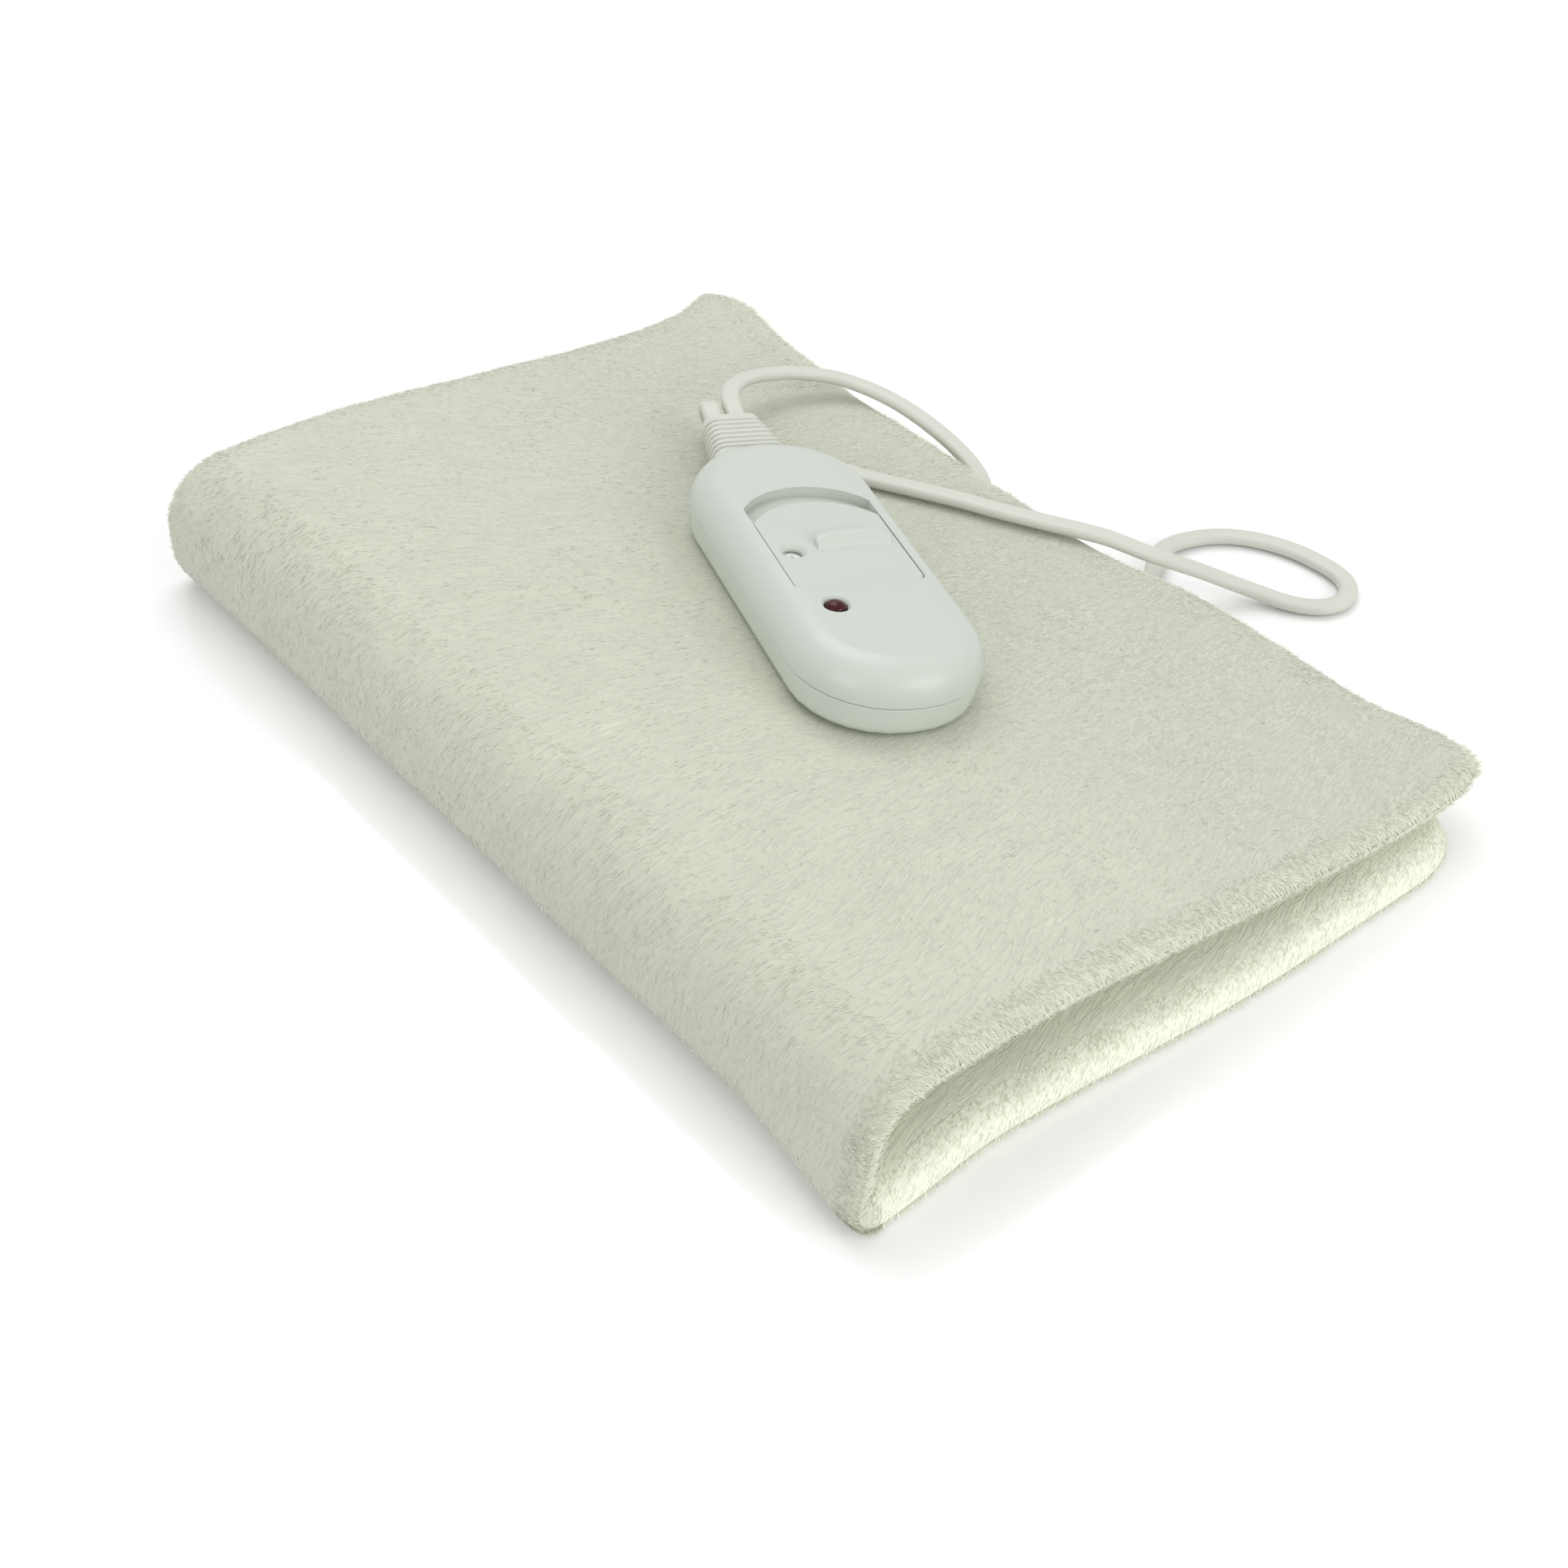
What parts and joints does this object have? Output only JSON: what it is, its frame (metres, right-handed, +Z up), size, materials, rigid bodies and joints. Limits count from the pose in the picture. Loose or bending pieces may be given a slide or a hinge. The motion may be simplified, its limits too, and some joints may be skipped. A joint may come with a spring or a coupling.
{
  "type": "heating pad with controller",
  "caption": "Fleece heating pad folded once, with a two-shell hand controller whose slider sets the heat, and flat cords to the pad and to a two-pin mains plug.",
  "frame": {"origin": "middle of the folded pad's footprint, on the surface it lies on", "axes": "+X from the fold to the open long edge, +Y along the pad, +Z up"},
  "size_m": [0.2615, 0.3, 0.0549],
  "materials": {
    "outer_fleece": "brushed pile",
    "inner_fleece": "short pile",
    "felt": "matt",
    "wire_insulation": "satin",
    "cutout_case": "satin",
    "cord_rubber": "satin",
    "housing_shell": "semi-gloss",
    "scale_plate": "matt",
    "lamp_red": "gloss",
    "board": "matt",
    "switch_case": "matt",
    "fuse_glass": "gloss",
    "component_black": "matt",
    "component_yellow": "matt",
    "steel": "satin",
    "lead_insulation": "satin",
    "tie_plastic": "matt"
  },
  "bodies": {
    "pad_and_controller": {"outer_fleece_panel": "outer_fleece", "inner_fleece_panel": "inner_fleece", "heater_felt": "felt", "heating_wire": "wire_insulation", "thermal_cutout_1": "cutout_case", "thermal_cutout_2": "cutout_case", "pad_cord_boot": "cord_rubber", "upper_housing": "housing_shell", "lower_housing": "housing_shell", "level_scale": "scale_plate", "lamp_lens": "lamp_red", "lamp": "lamp_red", "circuit_board": "board", "slide_switch": "switch_case", "fuse": "fuse_glass", "diode": "component_black", "capacitor": "component_yellow", "housing_screw_1": "steel", "housing_screw_2": "steel", "housing_screw_3": "steel", "housing_screw_4": "steel", "cord_clamp": "tie_plastic", "lead_1": "lead_insulation", "lead_2": "lead_insulation", "lead_3": "lead_insulation", "lead_4": "lead_insulation", "strain_relief": "cord_rubber", "mains_cord": "cord_rubber", "pad_cord": "cord_rubber", "mains_cord_hank": "cord_rubber", "hank_tie": "tie_plastic", "mains_cord_tail": "cord_rubber", "plug_sleeve": "cord_rubber", "plug_body": "cord_rubber", "plug_pin_1": "steel", "plug_pin_2": "steel"},
    "slider": {"slider_button": "housing_shell", "switch_knob": "component_black"}
  },
  "joints": [
    {"name": "slider_travel", "type": "slide", "parent": "pad_and_controller", "child": "slider", "axis": [0.33, 0.9426, -0.0512], "range_m": [0, 0.0072]}
  ]
}
